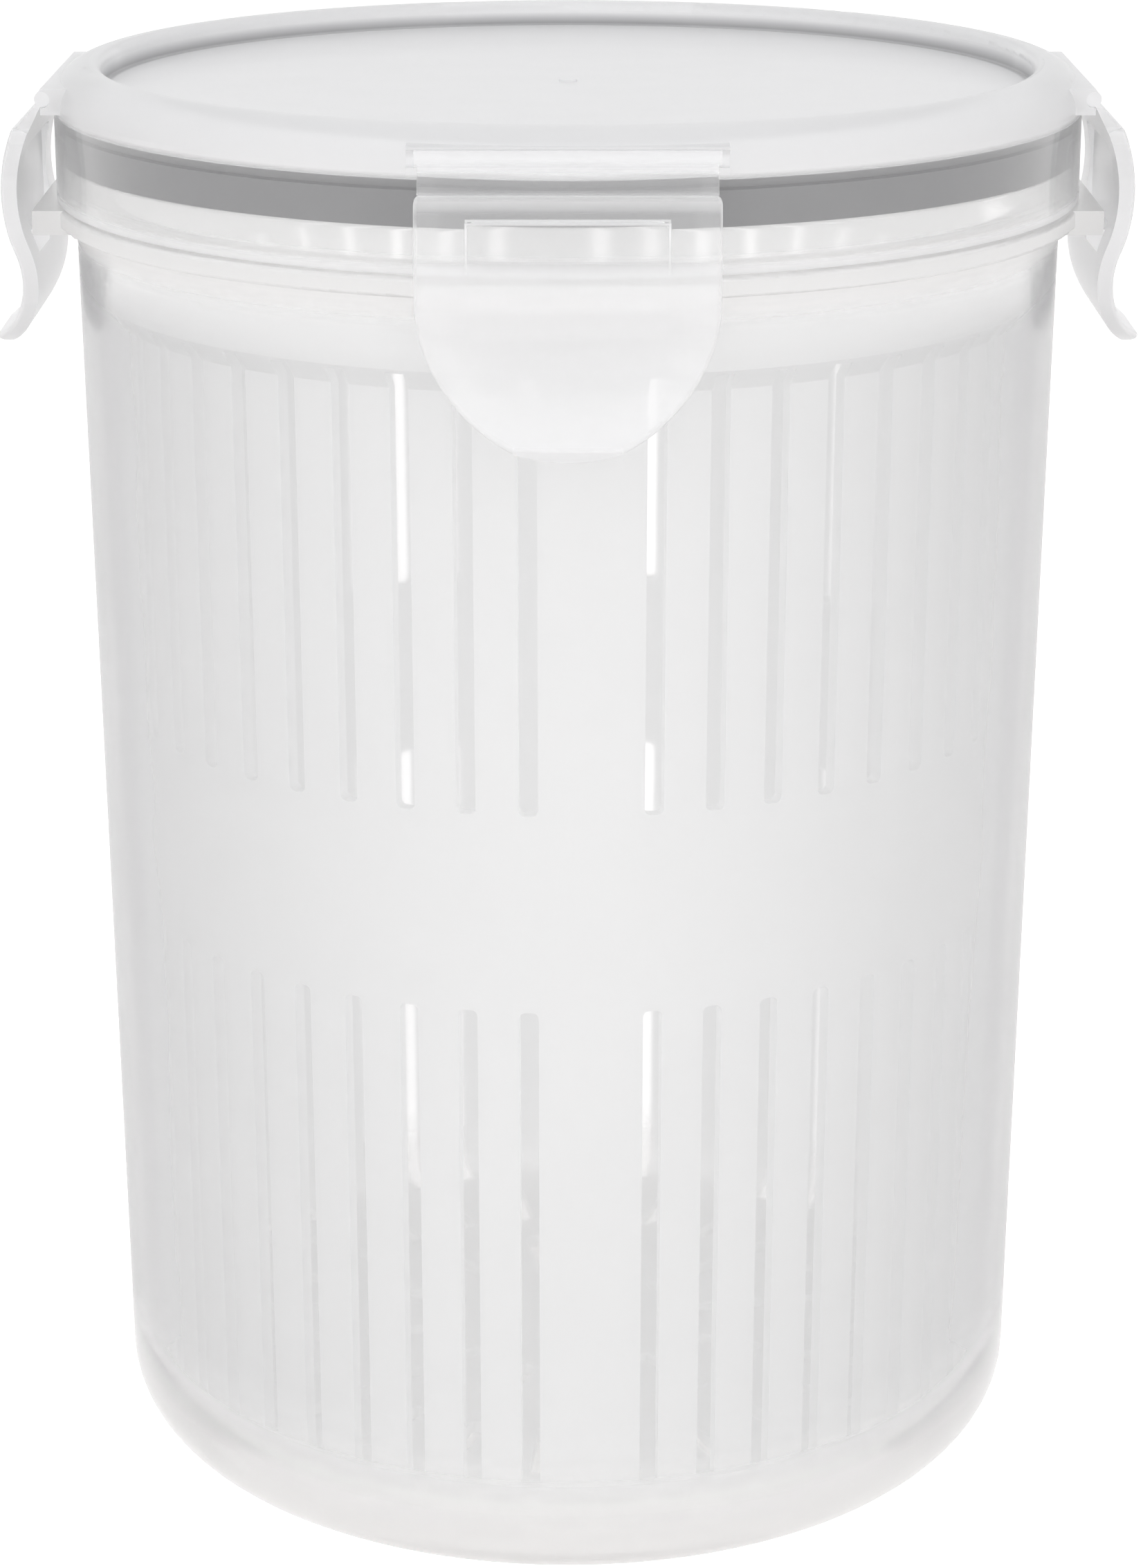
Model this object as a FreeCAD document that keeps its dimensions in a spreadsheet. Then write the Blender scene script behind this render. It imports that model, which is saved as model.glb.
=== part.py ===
"""Round pickle keeper: clear container, lift-out strainer, gasketed lid and four snap latches.

Millimetres, +Z up. The origin is the centre of the base, on the surface that the keeper stands on.
"""
import FreeCAD, Part
import math
import os

import Sketcher
from FreeCAD import Placement, Rotation, Vector

# Driving dimensions, by alias. Lengths are in millimetres, angles in degrees.
SIZES = {
    # container
    "base_radius": 62.1,
    "neck_flare": 2.5,
    "base_wall": 2.2,
    "neck_wall": 1.6,
    "floor_thickness": 3.0,
    "base_edge_round": 11.8,
    "floor_edge_round": 13.5,
    "foot_land": 3.5,
    "foot_recess": 0.8,
    "flange_height": 171.9,
    "flange_thickness": 2.4,
    "flange_reach": 2.7,
    "ledge_width": 1.0,
    "ledge_rise": 1.6,
    "mouth_wall": 1.4,
    "mouth_rise": 8.1,
    "edge_round": 0.5,
    # catch lugs on the flange
    "lug_width": 35.5,
    "lug_root": 9.0,
    "lug_reach": 4.0,
    "lug_drop": 0.7,
    # strainer
    "rim_clearance": 0.4,
    "rim_width": 2.1,
    "rim_thickness": 1.6,
    "seat_gap": 0.1,
    "shoulder_step": 1.8,
    "shoulder_height": 2.6,
    "collar_height": 11.5,
    "strainer_floor_gap": 6.2,
    "strainer_taper": 1.5,
    "strainer_wall": 1.7,
    "strainer_edge_round": 5.0,
    "slot_width": 2.4,
    "slot_pitch": 7.5,
    "slot_corner": 0.8,
    "slot_gap_top": 0.5,
    "upper_slot_length": 55.15,
    "band_height": 25.95,
    "slot_floor_reach": 6.0,
    "slot_flare_width": 1.0,
    "slot_flare_height": 2.5,
    "strainer_turn": 2.8,
    "drain_edge_gap": 4.2,
    "drain_inner_radius": 16.0,
    "drain_spacing": 6.0,
    "grip_length": 20.0,
    "grip_height": 6.5,
    "grip_rise": 2.5,
    "grip_corner": 3.0,
    # lid
    "skirt_clearance": 0.6,
    "skirt_wall": 1.0,
    "skirt_gap": 0.4,
    "seal_gap": 0.1,
    "gasket_height": 5.5,
    "gasket_neck": 1.2,
    "gasket_neck_inset": 0.5,
    "gasket_width": 3.9,
    "gasket_play": 0.05,
    "plug_wall": 1.3,
    "plug_lift": 0.9,
    "crown_height": 6.1,
    "crown_flat": 0.3,
    "crown_lip_round": 1.3,
    "panel_recess": 3.3,
    "panel_thickness": 1.5,
    "gate_radius": 1.2,
    "gate_height": 0.25,
    # hinges and latches
    "tab_over": 1.35,
    "tab_under": 1.9,
    "tab_width": 37.4,
    "bead_radius": 1.0,
    "bead_clearance": 0.06,
    "hinge_inset": 0.3,
    "hinge_drop": 3.2,
    "lip_reach": 0.16,
    "relief_margin": 0.3,
    "relief_depth": 2.1,
    "latch_width": 35.5,
    "latch_thickness": 2.1,
    "latch_corner": 1.2,
    "latch_edge_round": 0.5,
    "neck_angle": 55.0,
    "neck_length": 1.3,
    "neck_thickness": 0.7,
    "web_width": 34.7,
    "web_root": 2.0,
    "lip_step": 0.6,
    "bulge_radius": 21.2,
    "bulge_reach": 3.9,
    "bulge_rise": 5.2,
    "shoulder_angle": 24.0,
    "knee_angle": 20.9,
    "waist_radius": 10.5,
    "tail_angle": 58.0,
    "catch_width": 23.4,
    "catch_clearance": 0.3,
    "catch_overlap": 1.4,
    "catch_thickness": 4.8,
    "catch_tip_thickness": 1.2,
    "seat_clearance": 2.2,
    "seat_height": 10.9,
    "seat_corner": 1.2,
}

SLOTS_PER_QUARTER = 11
QUARTERS = 4
OUTER_DRAINS = 24
INNER_DRAINS = 12
LATCH_NAMES = ("latch_right", "latch_back", "latch_left", "latch_front")
REACH = 30.0  # a cut this long passes through any wall
MARGIN = 1.0  # an outline goes this far past the material that it cuts

ORIGIN = (-1, 1)
H_AXIS = -1
V_AXIS = -2
START, END = 1, 2


class Size:
    """A length that knows both its value and the expression that gives it."""

    def __init__(self, value, text):
        self.value = value
        self.text = text

    @staticmethod
    def of(other):
        return other if isinstance(other, Size) else Size(float(other), repr(float(other)))

    def joined(self, other, sign, value):
        return Size(value, f"({self.text} {sign} {other.text})")

    def __add__(self, other):
        other = Size.of(other)
        return self.joined(other, "+", self.value + other.value)

    def __sub__(self, other):
        other = Size.of(other)
        return self.joined(other, "-", self.value - other.value)

    def __mul__(self, other):
        other = Size.of(other)
        return self.joined(other, "*", self.value * other.value)

    def __truediv__(self, other):
        other = Size.of(other)
        return self.joined(other, "/", self.value / other.value)

    def __radd__(self, other):
        return Size.of(other) + self

    def __rsub__(self, other):
        return Size.of(other) - self

    def __rmul__(self, other):
        return Size.of(other) * self

    def __neg__(self):
        return Size.of(0) - self


def around(centre, radius, angle):
    """The point at a radius from a centre, in the direction of an angle in degrees."""
    radius = Size.of(radius)
    angle = Size.of(angle)
    turn = math.radians(angle.value)
    across = Size(math.cos(turn), f"cos({angle.text})")
    up = Size(math.sin(turn), f"sin({angle.text})")
    return centre[0] + radius * across, centre[1] + radius * up


class Namespace:
    """The sizes by name, driving ones and those worked out from them."""


def make_sheet(doc):
    """The spreadsheet of driving dimensions, and a Size for each of its cells."""
    sheet = doc.addObject("Spreadsheet::Sheet", "Sizes")
    sizes = Namespace()
    for row, (name, value) in enumerate(SIZES.items(), start=1):
        sheet.set(f"A{row}", name)
        sheet.set(f"B{row}", str(value))
        sheet.setAlias(f"B{row}", name)
        setattr(sizes, name, Size(value, f"Sizes.{name}"))
    doc.recompute()
    return sizes


def work_out_fits(s):
    """Places that several pieces share, each from the piece it fits and a clearance."""
    s.foot_radius = s.base_radius - s.base_edge_round - s.foot_land - s.foot_recess
    s.neck_radius = s.base_radius + s.neck_flare
    s.neck_inner_radius = s.neck_radius - s.neck_wall
    s.mouth_inner_radius = s.neck_inner_radius + s.ledge_width
    s.mouth_outer_radius = s.mouth_inner_radius + s.mouth_wall
    s.flange_radius = s.neck_radius + s.flange_reach
    s.flange_top = s.flange_height + s.flange_thickness
    s.ledge_height = s.flange_height + s.ledge_rise
    s.rim_height = s.flange_height + s.mouth_rise
    s.lug_bottom = s.flange_height - s.lug_drop
    s.lug_face = s.neck_radius + s.lug_reach

    s.strainer_rim_radius = s.mouth_inner_radius - s.rim_clearance
    s.strainer_seat = s.ledge_height + s.seat_gap
    s.strainer_top = s.strainer_seat + s.rim_thickness
    s.strainer_bottom = s.floor_thickness + s.strainer_floor_gap
    s.collar_radius = s.strainer_rim_radius - s.rim_width
    s.collar_bottom = s.strainer_seat - s.collar_height
    s.shoulder_bottom = s.collar_bottom - s.shoulder_height
    s.body_top_radius = s.collar_radius - s.shoulder_step
    s.body_base_radius = s.body_top_radius - s.strainer_taper
    s.upper_slot_top = s.collar_bottom - s.slot_gap_top
    s.upper_slot_bottom = s.upper_slot_top - s.upper_slot_length
    s.lower_slot_top = s.upper_slot_bottom - s.band_height
    s.slot_floor_radius = s.body_base_radius - s.slot_floor_reach
    drain_room = s.slot_floor_radius - s.drain_edge_gap - s.drain_inner_radius
    s.drain_length = (drain_room - s.drain_spacing) / 2

    s.skirt_inner_radius = s.mouth_outer_radius + s.skirt_clearance
    s.skirt_radius = s.skirt_inner_radius + s.skirt_wall
    s.skirt_bottom = s.flange_top + s.skirt_gap
    s.gasket_bottom = s.rim_height + s.seal_gap
    s.gasket_radius = s.skirt_inner_radius - s.gasket_play
    s.channel_top = s.gasket_bottom + s.gasket_height + s.gasket_play
    s.plug_radius = s.skirt_inner_radius - s.gasket_width - 2 * s.gasket_play
    s.well_radius = s.plug_radius - s.plug_wall
    s.crown_round = s.skirt_radius - s.crown_flat - s.crown_lip_round - s.well_radius
    s.crown_top = s.channel_top + s.crown_height
    s.panel_top = s.crown_top - s.panel_recess
    s.panel_bottom = s.panel_top - s.panel_thickness

    s.bulge_centre = (s.lug_face + s.bulge_reach - s.bulge_radius, s.lug_bottom + s.bulge_rise)
    s.hinge_x = s.skirt_radius - s.hinge_inset
    s.hinge_z = s.crown_top - s.hinge_drop
    return s


def bind(target, prop, size):
    """Tie one property of an object to the spreadsheet."""
    target.setExpression(prop, Size.of(size).text)


def plane(body, role):
    """One of the body's own origin planes or axes."""
    return next(item for item in body.Origin.OriginFeatures if item.Role == role)


def new_body(doc, name):
    body = doc.addObject("PartDesign::Body", name)
    body.Label = name
    return body


def new_sketch(body, name, role, offset=None):
    """A sketch on one of the body's origin planes, or a distance along that plane's normal."""
    sketch = body.newObject("Sketcher::SketchObject", name)
    sketch.AttachmentSupport = [(plane(body, role), "")]
    sketch.MapMode = "FlatFace"
    if offset is not None:
        sketch.setExpression("AttachmentOffset.Base.z", offset.text)
    return sketch


def pin_point(sketch, geometry, end, point):
    """Hold one end of a curve at a point given by two sizes."""
    for kind, axis, size in (("DistanceX", V_AXIS, point[0]), ("DistanceY", H_AXIS, point[1])):
        size = Size.of(size)
        if size.value == 0:
            sketch.addConstraint(Sketcher.Constraint("PointOnObject", geometry, end, axis))
            continue
        index = sketch.addConstraint(Sketcher.Constraint(kind, *ORIGIN, geometry, end, size.value))
        sketch.setExpression(f"Constraints[{index}]", size.text)


def arc_through(first, last, radius, turn):
    """The short arc from first to last; turn is 1 where it runs counter-clockwise and -1 where clockwise."""
    chord = last - first
    left = Vector(-chord.y, chord.x, 0).normalize()
    to_centre = math.sqrt(radius ** 2 - (chord.Length / 2) ** 2)
    centre = (first + last) / 2 + left * to_centre * turn
    ends = (first, last) if turn > 0 else (last, first)
    angles = [math.atan2(point.y - centre.y, point.x - centre.x) for point in ends]
    return Part.ArcOfCircle(Part.Circle(centre, Vector(0, 0, 1), radius), *angles)


def draw_outline(sketch, points, arcs=None):
    """A closed outline through the points.

    arcs gives, for the point that a curved stretch starts from, its radius and its turn.
    """
    arcs = arcs or {}
    corners = [Vector(Size.of(x).value, Size.of(y).value, 0) for x, y in points]
    count = len(points)
    ends = []
    for index, corner in enumerate(corners):
        following = corners[(index + 1) % count]
        radius, turn = arcs.get(index, (None, 1))
        if radius is None:
            curve = Part.LineSegment(corner, following)
        else:
            curve = arc_through(corner, following, radius.value, turn)
        geometry = sketch.addGeometry(curve)
        first, last = (START, END) if turn > 0 else (END, START)
        ends.append((geometry, first, last))
    for index, (geometry, first, last) in enumerate(ends):
        next_geometry, next_first, _ = ends[(index + 1) % count]
        sketch.addConstraint(Sketcher.Constraint("Coincident", geometry, last, next_geometry, next_first))
        pin_point(sketch, geometry, first, points[index])
        if index in arcs:
            radius = arcs[index][0]
            held = sketch.addConstraint(Sketcher.Constraint("Radius", geometry, radius.value))
            sketch.setExpression(f"Constraints[{held}]", radius.text)


def draw_circle(sketch, x, y, radius):
    geometry = sketch.addGeometry(Part.Circle(Vector(x.value, y.value, 0), Vector(0, 0, 1), radius.value))
    pin_point(sketch, geometry, 3, (x, y))
    held = sketch.addConstraint(Sketcher.Constraint("Radius", geometry, radius.value))
    sketch.setExpression(f"Constraints[{held}]", radius.text)


def draw_slot(sketch, round_end, square_end, width, corner, flare=()):
    """An upright slot with round corners at one end and square ones at the other.

    flare gives, for a slot that widens towards its square end, where that starts and how far each side goes out.
    """
    half = width / 2
    rise = 1 if square_end.value > round_end.value else -1
    side = [(half - corner, round_end), (half, round_end + corner * rise)]
    if flare:
        start, spread = flare
        side += [(half, start), (half + spread, square_end)]
    else:
        side.append((half, square_end))
    outline = side + [(-x, height) for x, height in reversed(side)]
    draw_outline(sketch, outline, {0: (corner, rise), len(outline) - 2: (corner, rise)})


def draw_rounded_box(sketch, half_width, low, high, corner):
    """A rectangle with round corners, centred on the sketch's upright axis."""
    draw_outline(sketch, [
        (-half_width + corner, low),
        (half_width - corner, low),
        (half_width, low + corner),
        (half_width, high - corner),
        (half_width - corner, high),
        (-half_width + corner, high),
        (-half_width, high - corner),
        (-half_width, low + corner),
    ], {start: (corner, 1) for start in (1, 3, 5, 7)})


def revolve(body, kind, name, points, arcs=None):
    """A full turn of a section drawn in the XZ plane, about Z."""
    sketch = new_sketch(body, name + "_section", "XZ_Plane")
    draw_outline(sketch, points, arcs)
    turned = body.newObject("PartDesign::" + kind, name)
    turned.Profile = sketch
    turned.ReferenceAxis = (sketch, ["V_Axis"])
    turned.Angle = 360
    return turned


def pad_across(body, name, sketch, width):
    """A pad that reaches half its width to each side of its sketch."""
    pad = body.newObject("PartDesign::Pad", name)
    pad.Profile = sketch
    pad.SideType = "Symmetric"
    bind(pad, "Length", width)
    return pad


def cut_across(body, name, sketch, width):
    """A pocket that reaches half its width to each side of its sketch."""
    pocket = body.newObject("PartDesign::Pocket", name)
    pocket.Profile = sketch
    pocket.SideType = "Symmetric"
    bind(pocket, "Length", width)
    return pocket


def cut_along_normal(body, name, sketch, length):
    """A pocket that runs from its sketch along the sketch's normal."""
    pocket = body.newObject("PartDesign::Pocket", name)
    pocket.Profile = sketch
    pocket.Reversed = True
    bind(pocket, "Length", length)
    return pocket


def polar(body, name, originals, count, angle=360.0):
    """Copies of some features about Z, spread over a full turn or from the first to the last over an angle."""
    pattern = body.newObject("PartDesign::PolarPattern", name)
    pattern.Originals = originals
    pattern.Axis = (plane(body, "Z_Axis"), [""])
    pattern.Angle = angle
    pattern.Occurrences = count
    body.Tip = pattern
    return pattern


def quarters_of_rows(doc, body, name, originals, pitch):
    """A row of copies one pitch apart, repeated in each quarter of the turn."""
    multi = body.newObject("PartDesign::MultiTransform", name)
    multi.Originals = originals
    multi.Refine = False
    row = doc.addObject("PartDesign::PolarPattern", name + "_row")
    turn = doc.addObject("PartDesign::PolarPattern", name + "_turn")
    for pattern, count in ((row, SLOTS_PER_QUARTER), (turn, QUARTERS)):
        body.addObject(pattern)
        pattern.Axis = (plane(body, "Z_Axis"), [""])
        pattern.Occurrences = count
    bind(row, "Angle", pitch * (SLOTS_PER_QUARTER - 1))
    turn.Angle = 360
    multi.Transformations = [row, turn]
    body.Tip = multi
    return multi


def ring_edges(feature, rings):
    """Names of the round edges about Z that lie at the given radii and heights."""
    names = []
    for index, edge in enumerate(feature.Shape.Edges, start=1):
        curve = edge.Curve
        if not isinstance(curve, Part.Circle) or abs(curve.Center.x) + abs(curve.Center.y) > 0.01:
            continue
        if any(abs(curve.Radius - r.value) < 0.02 and abs(curve.Center.z - Size.of(z).value) < 0.02
               for r, z in rings):
            names.append(f"Edge{index}")
    return names


def fillet_rings(doc, body, name, rings, radius):
    """Round the ring edges at the given radii and heights."""
    doc.recompute()
    base = body.Tip
    names = ring_edges(base, rings)
    if not names:
        raise RuntimeError(f"{name} found no edge to round")
    fillet = body.newObject("PartDesign::Fillet", name)
    fillet.Base = (base, names)
    bind(fillet, "Radius", radius)
    return fillet


def build_container(doc, s):
    """The tub: a turned outside, four lugs under its flange, and a turned hollow with a ledge in the mouth."""
    body = new_body(doc, "container")
    revolve(body, "Revolution", "outside", [
        (0, s.foot_recess),
        (s.foot_radius, s.foot_recess),
        (s.foot_radius + s.foot_recess, 0),
        (s.base_radius, 0),
        (s.neck_radius, s.flange_height),
        (s.flange_radius, s.flange_height),
        (s.flange_radius, s.flange_top),
        (s.mouth_outer_radius, s.flange_top),
        (s.mouth_outer_radius, s.rim_height),
        (0, s.rim_height),
    ])
    fillet_rings(doc, body, "base_edge", [(s.base_radius, 0)], s.base_edge_round)
    fillet_rings(doc, body, "flange_edges", [
        (s.flange_radius, s.flange_height),
        (s.flange_radius, s.flange_top),
        (s.mouth_outer_radius, s.rim_height),
    ], s.edge_round)

    sketch = new_sketch(body, "lug_section", "XZ_Plane")
    inside = s.mouth_inner_radius - s.lug_root
    draw_outline(sketch, [
        (inside, s.lug_bottom),
        (s.lug_face, s.lug_bottom),
        (s.lug_face, s.flange_top),
        (inside, s.flange_top),
    ])
    lug = pad_across(body, "lug", sketch, s.lug_width)
    polar(body, "lugs", [lug], QUARTERS)

    cavity_top = s.rim_height + MARGIN
    inner_base_radius = s.base_radius - s.base_wall
    wall_slope = (s.neck_inner_radius - inner_base_radius) / (s.ledge_height - s.floor_thickness)
    round_end = inner_base_radius + wall_slope * s.floor_edge_round
    revolve(body, "Groove", "cavity", [
        (0, s.floor_thickness),
        (round_end - s.floor_edge_round, s.floor_thickness),
        (round_end, s.floor_thickness + s.floor_edge_round),
        (s.neck_inner_radius, s.ledge_height),
        (s.mouth_inner_radius, s.ledge_height),
        (s.mouth_inner_radius, cavity_top),
        (0, cavity_top),
    ], {1: (s.floor_edge_round, 1)})
    return body


def build_strainer(doc, s):
    """The basket: a turned shell hung by its rim, with two rows of slots, drain slots and finger holes.

    It is drawn with its first slot on +X, and turned so that its wide ribs come near the axes.
    """
    body = new_body(doc, "strainer")
    wall = s.strainer_wall
    inner_floor = s.strainer_bottom + wall
    revolve(body, "Revolution", "shell", [
        (0, s.strainer_bottom),
        (s.body_base_radius, s.strainer_bottom),
        (s.body_top_radius, s.shoulder_bottom),
        (s.collar_radius, s.collar_bottom),
        (s.collar_radius, s.strainer_seat),
        (s.strainer_rim_radius, s.strainer_seat),
        (s.strainer_rim_radius, s.strainer_top),
        (s.collar_radius - wall, s.strainer_top),
        (s.collar_radius - wall, s.collar_bottom),
        (s.body_top_radius - wall, s.shoulder_bottom),
        (s.body_base_radius - wall, inner_floor),
        (0, inner_floor),
    ])
    fillet_rings(doc, body, "outer_edge", [(s.body_base_radius, s.strainer_bottom)], s.strainer_edge_round)
    fillet_rings(doc, body, "inner_edge",
                 [(s.body_base_radius - wall, inner_floor)], s.strainer_edge_round - wall)
    fillet_rings(doc, body, "rim_edges", [
        (s.strainer_rim_radius, s.strainer_top),
        (s.strainer_rim_radius, s.strainer_seat),
    ], s.edge_round)

    sketch = new_sketch(body, "upper_slot_outline", "YZ_Plane", offset=s.slot_floor_radius)
    draw_slot(sketch, s.upper_slot_bottom, s.upper_slot_top, s.slot_width, s.slot_corner)
    upper = cut_along_normal(body, "upper_slot", sketch, REACH)
    sketch = new_sketch(body, "lower_slot_outline", "YZ_Plane", offset=s.slot_floor_radius)
    flare = (s.strainer_bottom + s.slot_flare_height, s.slot_flare_width)
    draw_slot(sketch, s.lower_slot_top, s.strainer_bottom - MARGIN, s.slot_width, s.slot_corner, flare)
    lower = cut_along_normal(body, "lower_slot", sketch, REACH)
    quarters_of_rows(doc, body, "slots", [upper, lower], s.slot_pitch)

    drain_start = s.drain_inner_radius
    for name, count in (("inner_drain", INNER_DRAINS), ("outer_drain", OUTER_DRAINS)):
        drain_end = drain_start + s.drain_length
        sketch = new_sketch(body, name + "_outline", "XY_Plane")
        draw_rounded_box(sketch, s.slot_width / 2, drain_start, drain_end, s.slot_corner)
        drain = cut_along_normal(body, name, sketch, s.strainer_bottom + 2 * wall)
        polar(body, name + "s", [drain], count)
        drain_start = drain_end + s.drain_spacing

    sketch = new_sketch(body, "grip_outline", "YZ_Plane")
    grip_bottom = s.collar_bottom + s.grip_rise
    draw_rounded_box(sketch, s.grip_length / 2, grip_bottom, grip_bottom + s.grip_height, s.grip_corner)
    cut_across(body, "grips", sketch, 4 * s.strainer_rim_radius)
    body.setExpression("Placement.Rotation.Angle", (s.slot_pitch + s.strainer_turn).text)
    return body


def build_gasket(doc, s):
    """The sealing ring: a block section with a narrower neck that goes up into the lid's channel."""
    body = new_body(doc, "gasket")
    inner = s.gasket_radius - s.gasket_width
    top = s.gasket_bottom + s.gasket_height
    neck = top - s.gasket_neck
    inset = s.gasket_neck_inset
    revolve(body, "Revolution", "ring", [
        (inner, s.gasket_bottom),
        (s.gasket_radius, s.gasket_bottom),
        (s.gasket_radius, neck),
        (s.gasket_radius - inset, neck + inset / 2),
        (s.gasket_radius - inset, top),
        (inner + inset, top),
        (inner + inset, neck + inset / 2),
        (inner, neck),
    ])
    return body


def build_lid(doc, s):
    """The lid: a turned crown, panel, skirt and plug wall, with a hinge tab on each side."""
    body = new_body(doc, "lid")
    crown_start = s.crown_top - s.crown_round
    peak_radius = s.skirt_radius - s.crown_round
    lip_height = s.crown_top - s.crown_lip_round
    revolve(body, "Revolution", "crown", [
        (0, s.panel_top + s.gate_height),
        (s.gate_radius, s.panel_top + s.gate_height),
        (s.gate_radius, s.panel_top),
        (s.well_radius, s.panel_top),
        (s.well_radius, lip_height),
        (s.well_radius + s.crown_lip_round, s.crown_top),
        (peak_radius, s.crown_top),
        (s.skirt_radius, crown_start),
        (s.skirt_radius, s.skirt_bottom),
        (s.skirt_inner_radius, s.skirt_bottom),
        (s.skirt_inner_radius, s.channel_top),
        (s.plug_radius, s.channel_top),
        (s.plug_radius, s.gasket_bottom + s.plug_lift),
        (s.well_radius, s.gasket_bottom + s.plug_lift),
        (s.well_radius, s.panel_bottom),
        (0, s.panel_bottom),
    ], {4: (s.crown_lip_round, -1), 6: (s.crown_round, -1)})

    tab_low = s.hinge_z - s.tab_under
    tab_high = s.hinge_z + s.tab_over
    tab_end = s.hinge_x + s.lip_reach
    sketch = new_sketch(body, "tab_section", "XZ_Plane")
    draw_outline(sketch, [
        (s.plug_radius, tab_low),
        (tab_end, tab_low),
        (tab_end, tab_high),
        (s.plug_radius, tab_high),
    ])
    tab = pad_across(body, "tab", sketch, s.tab_width)

    relief_low = s.hinge_z - s.relief_depth
    relief_end = s.skirt_radius + MARGIN
    relief_high = s.crown_top + MARGIN
    sketch = new_sketch(body, "relief_section", "XZ_Plane")
    draw_outline(sketch, [
        (tab_end, relief_low),
        (relief_end, relief_low),
        (relief_end, relief_high),
        (tab_end, relief_high),
    ])
    relief = cut_across(body, "relief", sketch, s.latch_width + 2 * s.relief_margin)

    sketch = new_sketch(body, "socket_section", "XZ_Plane")
    draw_circle(sketch, s.hinge_x, s.hinge_z, s.bead_radius + s.bead_clearance)
    socket = cut_across(body, "socket", sketch, s.tab_width + MARGIN)
    polar(body, "hinge_tabs", [tab, relief, socket], QUARTERS)
    return body


def flap_points(s):
    """The flap's side outline with the latch closed: top outside, knee, tail, knee inside, top inside.

    The bulge is an arc about one centre and the waist an arc about another, and they meet in a
    smooth knee on the line between the two centres.
    """
    bulge = s.bulge_centre
    waist = around(bulge, s.bulge_radius + s.waist_radius, -s.knee_angle)
    inner_bulge = s.bulge_radius - s.latch_thickness
    inner_waist = s.waist_radius + s.latch_thickness
    tail = s.tail_angle - 180
    points = [
        around(bulge, s.bulge_radius, s.shoulder_angle),
        around(bulge, s.bulge_radius, -s.knee_angle),
        around(waist, s.waist_radius, tail),
        around(waist, inner_waist, tail),
        around(bulge, inner_bulge, -s.knee_angle),
        around(bulge, inner_bulge, s.shoulder_angle),
    ]
    arcs = {
        0: (s.bulge_radius, -1),
        1: (s.waist_radius, 1),
        3: (inner_waist, -1),
        4: (inner_bulge, 1),
    }
    return points, arcs


def build_latch(doc, s, name, turn):
    """A snap latch on the +X side, turned about Z to its own side.

    Its bead snaps into the C-shaped socket of the lid's tab and turns in it on a thin neck. The flap
    bulges past the lug, draws in below it and flares into a finger tail. Inside it has a flat seat
    for the lug and a rib that catches under it.
    """
    body = new_body(doc, name)
    points, arcs = flap_points(s)
    sketch = new_sketch(body, "flap_section", "XZ_Plane")
    draw_outline(sketch, points, arcs)
    pad_across(body, "flap", sketch, s.latch_width)

    half = s.latch_width / 2
    top = points[0][1]
    tip = points[3][1]
    cut_ends(body, s, half, top, tip)
    doc.recompute()
    round_outer_edges(body, s)

    sketch = new_sketch(body, "web_section", "XZ_Plane")
    draw_web(sketch, s)
    pad_across(body, "web", sketch, s.web_width)
    sketch = new_sketch(body, "bead_section", "XZ_Plane")
    draw_circle(sketch, s.hinge_x, s.hinge_z, s.bead_radius)
    pad_across(body, "bead", sketch, s.latch_width)

    catch_top = s.lug_bottom - s.catch_clearance
    sketch = new_sketch(body, "seat_outline", "YZ_Plane")
    draw_rounded_box(sketch, s.catch_width / 2, catch_top, catch_top + s.seat_height, s.seat_corner)
    cut_along_normal(body, "seat", sketch, s.lug_face + s.seat_clearance)

    catch_tip = s.lug_face - s.catch_overlap
    catch_root = points[4][0] + s.latch_thickness / 2
    sketch = new_sketch(body, "catch_section", "XZ_Plane")
    draw_outline(sketch, [
        (catch_tip, catch_top),
        (catch_root, catch_top),
        (catch_root, catch_top - s.catch_thickness),
        (catch_tip, catch_top - s.catch_tip_thickness),
    ])
    pad_across(body, "catch", sketch, s.catch_width)
    body.Placement = Placement(Vector(), Rotation(Vector(0, 0, 1), turn))
    return body


def cut_ends(body, s, half, top, tip):
    """Give the flap its outline from the front: a half-round tail and round top corners."""
    below = tip - MARGIN
    above = top + MARGIN
    beside = half + MARGIN
    corner = s.latch_corner
    sketch = new_sketch(body, "front_offcuts", "YZ_Plane")
    draw_outline(sketch, [
        (-half, tip + half),
        (0, tip),
        (half, tip + half),
        (beside, tip + half),
        (beside, below),
        (-beside, below),
        (-beside, tip + half),
    ], {0: (half, 1), 1: (half, 1)})
    draw_outline(sketch, [
        (half, top - corner),
        (half - corner, top),
        (half - corner, above),
        (beside, above),
        (beside, top - corner),
    ], {0: (corner, 1)})
    draw_outline(sketch, [
        (-half + corner, top),
        (-half, top - corner),
        (-beside, top - corner),
        (-beside, above),
        (-half + corner, above),
    ], {0: (corner, 1)})
    cut_along_normal(body, "front_cut", sketch, 2 * s.skirt_radius)


def round_outer_edges(body, s):
    """Round the whole edge of the flap's outer face."""
    base = body.Tip
    seen = []
    for face in base.Shape.Faces:
        surface = face.Surface
        if isinstance(surface, Part.Cylinder) and abs(surface.Axis.y) > 0.99:
            if min(abs(surface.Radius - size.value) for size in (s.bulge_radius, s.waist_radius)) < 0.001:
                seen += [edge.hashCode() for edge in face.Edges]
    names = [f"Edge{index}" for index, edge in enumerate(base.Shape.Edges, start=1)
             if seen.count(edge.hashCode()) == 1]
    if not names:
        raise RuntimeError("no latch edge to round")
    fillet = body.newObject("PartDesign::Fillet", "flap_edges")
    fillet.Base = (base, names)
    bind(fillet, "Radius", s.latch_edge_round)


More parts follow.
